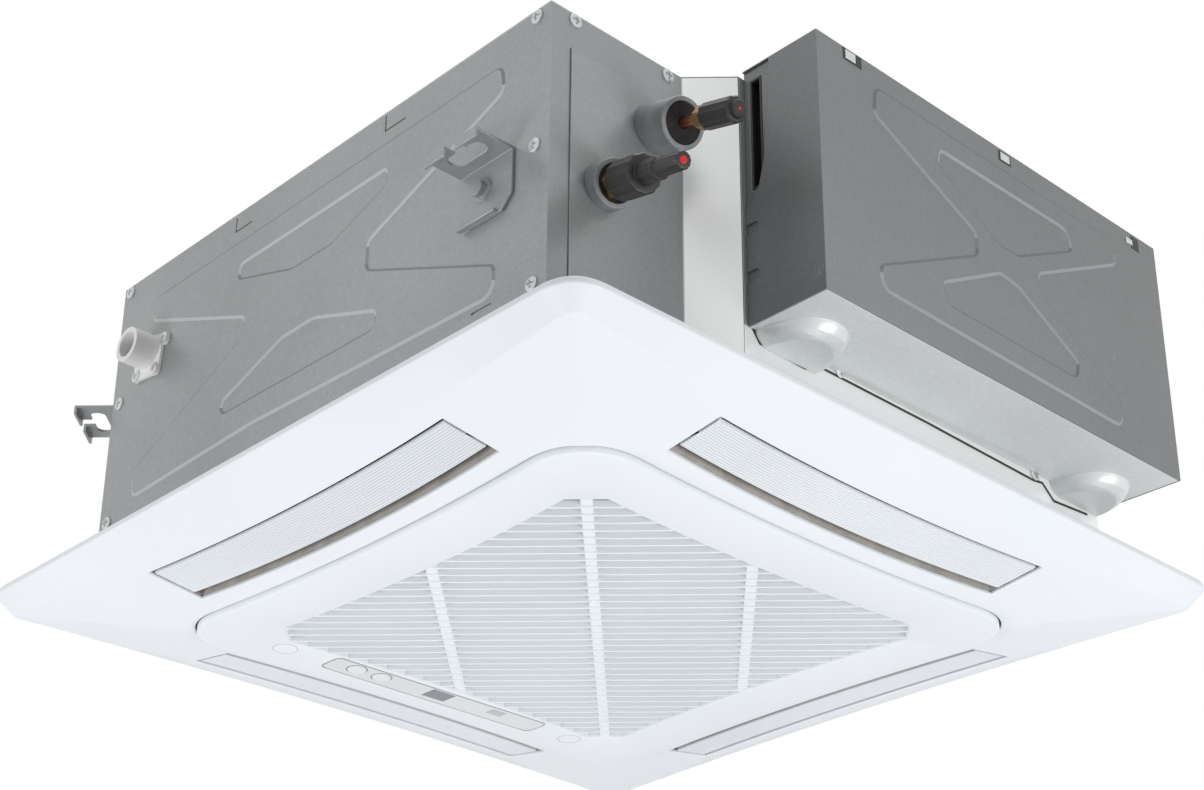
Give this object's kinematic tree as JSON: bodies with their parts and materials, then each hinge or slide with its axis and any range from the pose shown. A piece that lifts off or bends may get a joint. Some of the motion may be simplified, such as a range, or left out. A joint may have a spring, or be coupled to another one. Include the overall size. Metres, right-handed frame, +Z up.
{
  "type": "ceiling cassette air conditioner",
  "caption": "Compact four-way ceiling cassette air conditioner: galvanised body with control box, pipe stubs and hanger brackets over a square white panel with louvres and intake grille.",
  "frame": {"origin": "centre of the unit in the ceiling plane, level with the upper face of the panel's rim", "axes": "+Z up into the ceiling void, -Y towards the plate with the drain spout, +X towards the control box"},
  "size_m": [0.6752, 0.647, 0.2836],
  "materials": {
    "galvanised_steel": "zinc spangle",
    "bright_steel": "bright zinc",
    "liner_foam": "moulded bead foam",
    "fins": "fins",
    "box_steel": "dull zinc",
    "motor_metal": "cast",
    "fan_plastic": "matt",
    "white_plastic": "fine satin",
    "pipe_foam": "grey skin over black foam",
    "copper": "drawn copper",
    "brass": "dull brass",
    "black_plastic": "matt",
    "spout_plastic": "satin",
    "hose_rubber": "matt",
    "board": "lacquered",
    "duct_foam": "closed cell foam",
    "louvre_plastic": "satin, finely ribbed",
    "filter_mesh": "matt net",
    "strip_plastic": "satin",
    "window_plastic": "gloss, smoked",
    "lamp_plastic": "gloss"
  },
  "bodies": {
    "unit": {"front_wall": "galvanised_steel", "pipe_corner_wall": "bright_steel", "right_wall": "galvanised_steel", "rear_wall": "galvanised_steel", "left_wall": "galvanised_steel", "top_plate": "galvanised_steel", "pipe_cover_plate": "bright_steel", "insulation_liner": "liner_foam", "drain_pan": "liner_foam", "heat_exchanger": "fins", "coil_end_plate_front": "galvanised_steel", "coil_end_plate_right": "galvanised_steel", "motor_mount": "box_steel", "fan_motor": "motor_metal", "bell_mouth": "white_plastic", "gas_pipe_sleeve": "pipe_foam", "gas_pipe": "copper", "gas_flare_nut": "brass", "gas_pipe_cap": "black_plastic", "liquid_pipe_sleeve": "pipe_foam", "liquid_pipe": "copper", "liquid_flare_nut": "brass", "liquid_pipe_cap": "black_plastic", "drain_spout": "spout_plastic", "drain_pump": "white_plastic", "drain_hose": "hose_rubber", "float_switch": "white_plastic", "control_box_base": "box_steel", "control_box_cover": "box_steel", "control_box_bottom": "bright_steel", "control_board": "board", "terminal_block": "black_plastic", "cable_grommet": "hose_rubber", "front_hanger_bracket": "bright_steel", "left_hanger_bracket": "bright_steel", "rear_hanger_bracket": "bright_steel", "right_hanger_bracket": "bright_steel", "decorative_panel": "white_plastic", "duct_foam": "duct_foam", "front_louvre_motor": "motor_metal", "right_louvre_motor": "motor_metal", "rear_louvre_motor": "motor_metal", "left_louvre_motor": "motor_metal"},
    "fan": {"turbo_fan": "fan_plastic", "fan_nut": "bright_steel"},
    "float": {"float": "white_plastic"},
    "front_louvre": {"front_louvre": "louvre_plastic"},
    "right_louvre": {"right_louvre": "louvre_plastic"},
    "rear_louvre": {"rear_louvre": "louvre_plastic"},
    "left_louvre": {"left_louvre": "louvre_plastic"},
    "grille": {"intake_grille": "white_plastic", "control_strip": "strip_plastic", "receiver_window": "window_plastic", "lamp_window": "lamp_plastic"},
    "filter": {"air_filter": "filter_mesh"},
    "button_1": {"button_1": "white_plastic"},
    "button_2": {"button_2": "white_plastic"},
    "catch_1": {"grille_catch_1": "white_plastic"},
    "catch_2": {"grille_catch_2": "white_plastic"}
  },
  "joints": [
    {"name": "front_louvre_swing", "type": "hinge", "parent": "unit", "child": "front_louvre", "pos_m": [0, -0.258, -0.0182], "axis": [1, 0, 0], "range_deg": [0, 55]},
    {"name": "right_louvre_swing", "type": "hinge", "parent": "unit", "child": "right_louvre", "pos_m": [0.258, 0, -0.0182], "axis": [0, 1, 0], "range_deg": [0, 55]},
    {"name": "rear_louvre_swing", "type": "hinge", "parent": "unit", "child": "rear_louvre", "pos_m": [0, 0.258, -0.0182], "axis": [-1, 0, 0], "range_deg": [0, 55]},
    {"name": "left_louvre_swing", "type": "hinge", "parent": "unit", "child": "left_louvre", "pos_m": [-0.258, 0, -0.0182], "axis": [0, -1, 0], "range_deg": [0, 55]},
    {"name": "grille_hinge", "type": "hinge", "parent": "unit", "child": "grille", "pos_m": [0.211, 0, -0.0313], "axis": [0, -1, 0], "range_deg": [0, 88]},
    {"name": "filter_lift", "type": "slide", "parent": "grille", "child": "filter", "axis": [0, 0, 1], "range_m": [0, 0.007]},
    {"name": "fan_spin", "type": "hinge", "parent": "unit", "child": "fan", "pos_m": [0, 0, 0.1], "axis": [0, 0, 1], "continuous": true},
    {"name": "float_rise", "type": "slide", "parent": "unit", "child": "float", "axis": [0, 0, 1], "range_m": [0, 0.008]},
    {"name": "button_1_press", "type": "slide", "parent": "grille", "child": "button_1", "axis": [0, 0, 1], "range_m": [0, 0.0008], "stiffness_N_per_m": 900, "springref_m": -0.0002},
    {"name": "button_2_press", "type": "slide", "parent": "grille", "child": "button_2", "axis": [0, 0, 1], "range_m": [0, 0.0008], "stiffness_N_per_m": 900, "springref_m": -0.0002},
    {"name": "catch_1_press", "type": "slide", "parent": "grille", "child": "catch_1", "axis": [0, 0, 1], "range_m": [0, 0.0012], "stiffness_N_per_m": 1200, "springref_m": -0.0002},
    {"name": "catch_2_press", "type": "slide", "parent": "grille", "child": "catch_2", "axis": [0, 0, 1], "range_m": [0, 0.0012], "stiffness_N_per_m": 1200, "springref_m": -0.0002}
  ],
  "couplings": [
    {"joint": "right_louvre_swing", "follows": "front_louvre_swing", "ratio": 1},
    {"joint": "rear_louvre_swing", "follows": "front_louvre_swing", "ratio": 1},
    {"joint": "left_louvre_swing", "follows": "front_louvre_swing", "ratio": 1}
  ]
}
